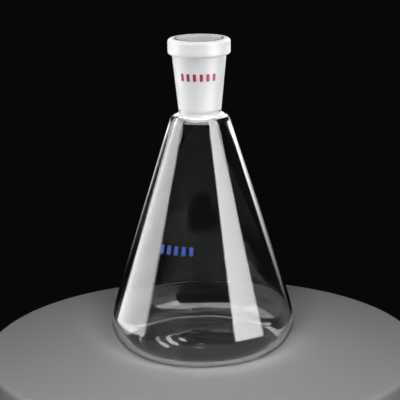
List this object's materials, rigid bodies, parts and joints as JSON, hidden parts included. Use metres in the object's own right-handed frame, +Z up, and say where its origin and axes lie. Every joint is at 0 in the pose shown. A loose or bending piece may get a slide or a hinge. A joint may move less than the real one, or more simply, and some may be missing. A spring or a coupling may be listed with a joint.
{
  "type": "erlenmeyer flask",
  "caption": "Clear conical laboratory flask with a flat base, rounded heel and a fused-on frosted ground-glass socket with a beaded rim, and plain enamel marks.",
  "frame": {"origin": "centre of the flat ring that the flask stands on, on the flask's axis", "axes": "+Z up along the flask's axis, out through the mouth; -Y is the front, the side with the enamel marks; +X is to the right seen from the front"},
  "size_m": [0.105, 0.105, 0.1776],
  "materials": {
    "clear_glass": "polished",
    "seal_glass": "polished",
    "ground_glass": "matte",
    "red_enamel": "satin",
    "blue_enamel": "satin"
  },
  "bodies": {
    "root": {"flask_body": "clear_glass", "fused_seal_ring": "seal_glass", "ground_joint_socket": "ground_glass", "socket_mark_1": "red_enamel", "socket_mark_2": "red_enamel", "socket_mark_3": "red_enamel", "socket_mark_4": "red_enamel", "socket_mark_5": "red_enamel", "socket_mark_6": "red_enamel", "body_mark_1": "blue_enamel", "body_mark_2": "blue_enamel", "body_mark_3": "blue_enamel", "body_mark_4": "blue_enamel", "body_mark_5": "blue_enamel"}
  },
  "joints": []
}
